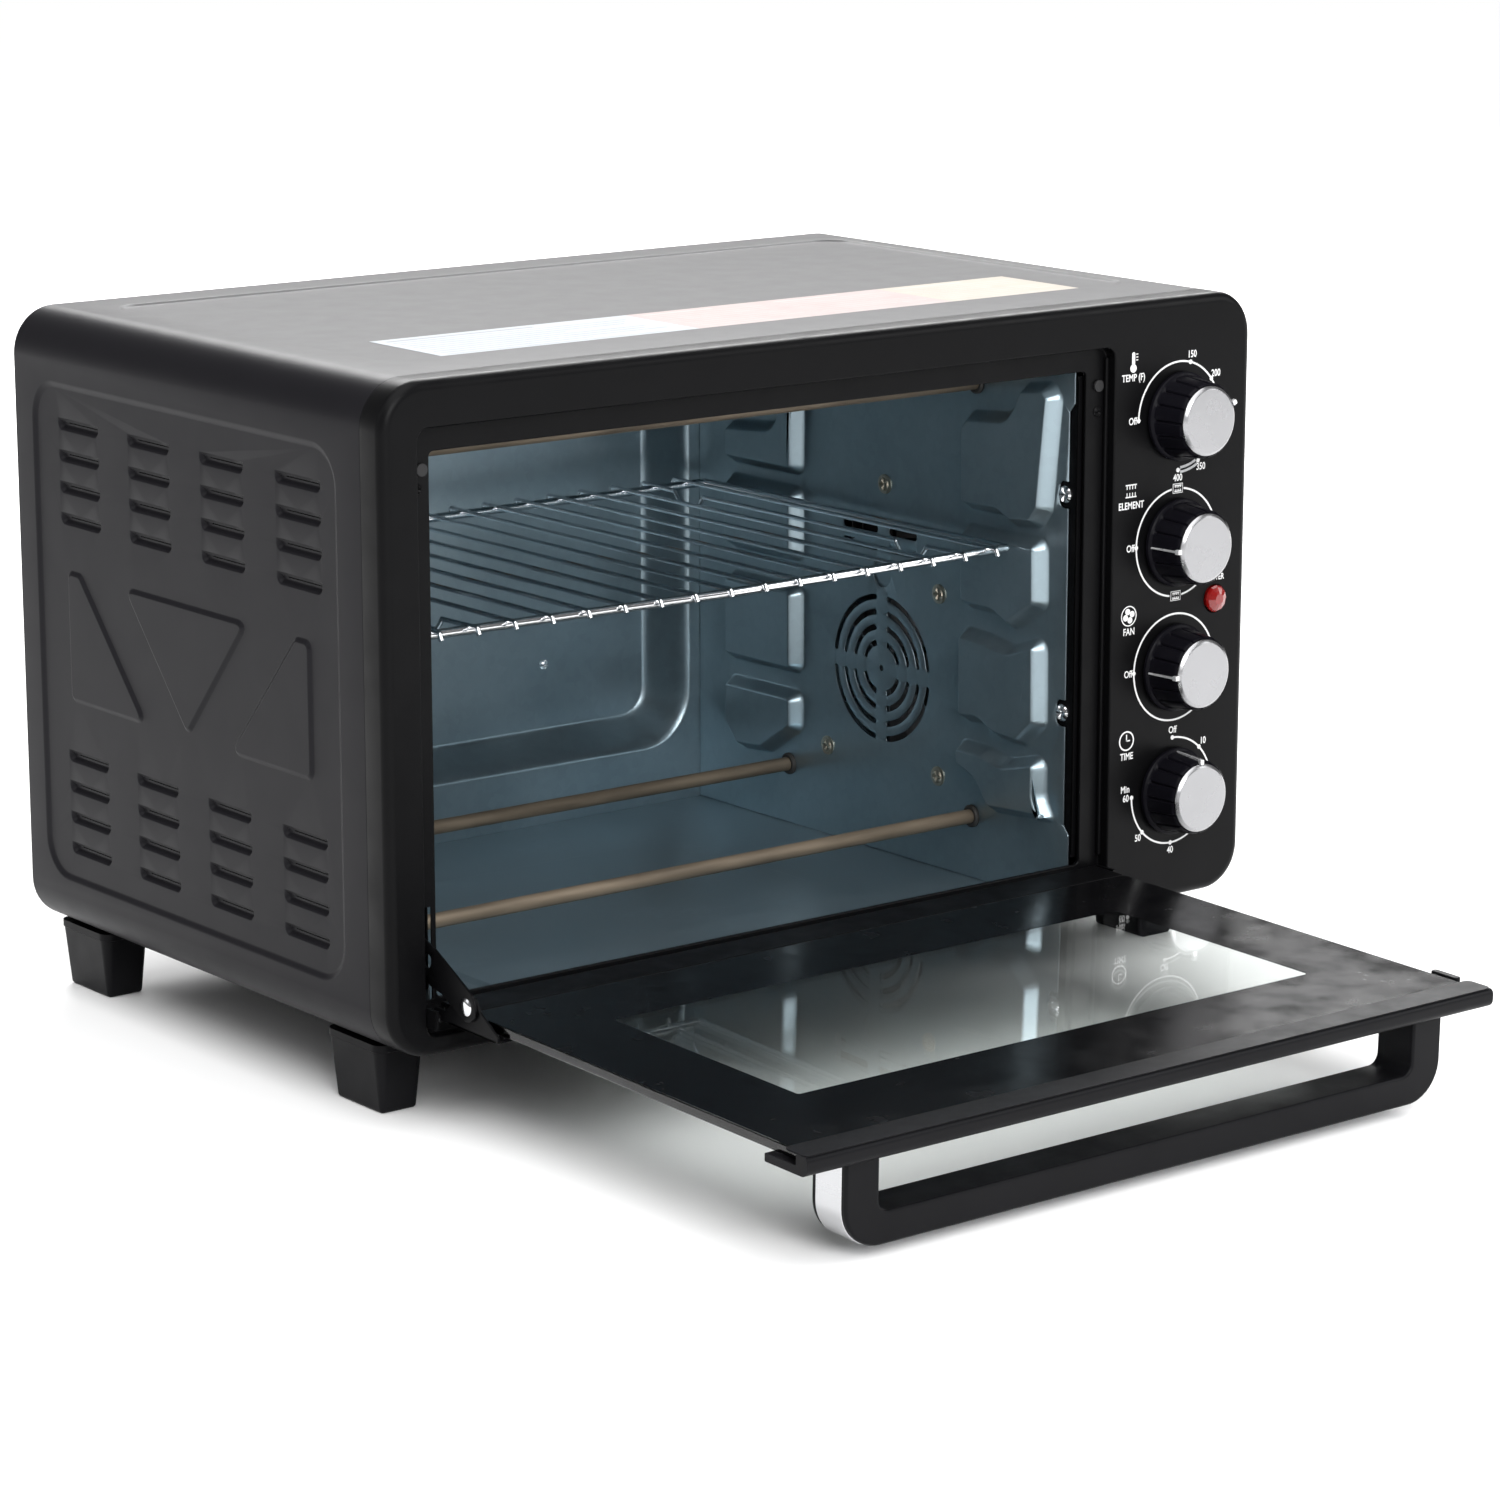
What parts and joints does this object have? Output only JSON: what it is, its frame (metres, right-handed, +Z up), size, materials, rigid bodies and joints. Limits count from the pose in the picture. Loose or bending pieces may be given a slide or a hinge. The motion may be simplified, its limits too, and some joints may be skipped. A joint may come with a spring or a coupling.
{
  "type": "toaster oven",
  "caption": "Countertop convection toaster oven with a drop-down glass door, wire rack, rod elements, side fan and rotary controls.",
  "frame": {"origin": "on the floor plane under the middle of the overall outline with the door open", "axes": "+Z up, front of the oven towards -Y, +X to the right seen from the front"},
  "size_m": [0.47, 0.5428, 0.306],
  "materials": {
    "charcoal_enamel": "satin charcoal enamel",
    "black_enamel": "satin black enamel",
    "zinc_steel": "bright zinc-coated sheet",
    "element_sheath": "oxidised heating sheath",
    "chrome_wire": "bright plated wire",
    "cast_alloy": "plain cast and plated metal",
    "brushed_trim": "fine brushed bright trim",
    "black_plastic": "fine-grained black moulding",
    "ceramic": "unglazed off-white ceramic",
    "door_glass": "clear tempered glass with a black printed border",
    "red_lens": "translucent red moulding",
    "dark_rubber": "dark rubber"
  },
  "bodies": {
    "base": {"outer_shell": "charcoal_enamel", "bottom_plate": "charcoal_enamel", "rear_panel": "charcoal_enamel", "front_frame": "black_enamel", "cavity_left_wall": "zinc_steel", "cavity_right_wall": "zinc_steel", "cavity_floor": "zinc_steel", "cavity_roof": "zinc_steel", "element_lower_front": "element_sheath", "element_lower_rear": "element_sheath", "element_upper_front": "element_sheath", "element_upper_rear": "element_sheath", "fan_housing": "zinc_steel", "fan_motor": "cast_alloy", "drive_hole_cap": "zinc_steel", "thermostat": "ceramic", "element_switch": "cast_alloy", "fan_switch": "cast_alloy", "timer": "cast_alloy", "indicator_lens": "red_lens", "indicator_holder": "black_plastic", "door_bumper_left": "dark_rubber", "door_bumper_right": "dark_rubber", "foot_front_left": "black_plastic", "foot_rear_left": "black_plastic", "foot_front_right": "black_plastic", "foot_rear_right": "black_plastic", "cord_gland": "dark_rubber", "terminal_block": "ceramic", "thermal_cutout": "ceramic", "hinge_bracket_left": "black_enamel", "hinge_bracket_right": "black_enamel"},
    "door": {"door_glass": "door_glass", "door_lower_rail": "black_enamel", "hinge_arm_left": "black_enamel", "hinge_arm_right": "black_enamel", "door_top_trim": "black_plastic", "door_handle": "black_plastic", "handle_strip": "brushed_trim", "link_rivet": "chrome_wire"},
    "check_link": {"door_check_link": "black_enamel"},
    "rack": {"wire_rack": "chrome_wire"},
    "fan": {"fan_impeller": "cast_alloy"},
    "knob_temperature": {"knob_temperature": "black_plastic", "knob_cap_temperature": "brushed_trim"},
    "knob_element": {"knob_element": "black_plastic", "knob_cap_element": "brushed_trim"},
    "knob_fan": {"knob_fan": "black_plastic", "knob_cap_fan": "brushed_trim"},
    "knob_timer": {"knob_timer": "black_plastic", "knob_cap_timer": "brushed_trim"}
  },
  "joints": [
    {"name": "door_hinge", "type": "hinge", "parent": "base", "child": "door", "pos_m": [0, -0.0344, 0.0473], "axis": [1, 0, 0], "range_deg": [-91.1, 0]},
    {"name": "rack_slide", "type": "slide", "parent": "base", "child": "rack", "axis": [0, -1, 0], "range_m": [0, 0.2]},
    {"name": "knob_temperature_turn", "type": "hinge", "parent": "base", "child": "knob_temperature", "pos_m": [0.191, -0.0333, 0.2527], "axis": [0, 1, 0], "range_deg": [-155, 115]},
    {"name": "knob_element_turn", "type": "hinge", "parent": "base", "child": "knob_element", "pos_m": [0.191, -0.0333, 0.19549], "axis": [0, 1, 0], "range_deg": [0, 270]},
    {"name": "knob_fan_turn", "type": "hinge", "parent": "base", "child": "knob_fan", "pos_m": [0.191, -0.0333, 0.13828], "axis": [0, 1, 0], "range_deg": [0, 270]},
    {"name": "knob_timer_turn", "type": "hinge", "parent": "base", "child": "knob_timer", "pos_m": [0.191, -0.0333, 0.08108], "axis": [0, 1, 0], "range_deg": [0, 270]},
    {"name": "fan_spin", "type": "hinge", "parent": "base", "child": "fan", "pos_m": [0.16, 0.1089, 0.12121], "axis": [1, 0, 0], "continuous": true},
    {"name": "link_pivot", "type": "hinge", "parent": "door", "child": "check_link", "pos_m": [0, -0.05609, 0.05699], "axis": [1, 0, 0], "range_deg": [0, 99.2]}
  ],
  "couplings": [
    {"joint": "link_pivot", "follows": "door_hinge", "ratio": -1.088}
  ]
}
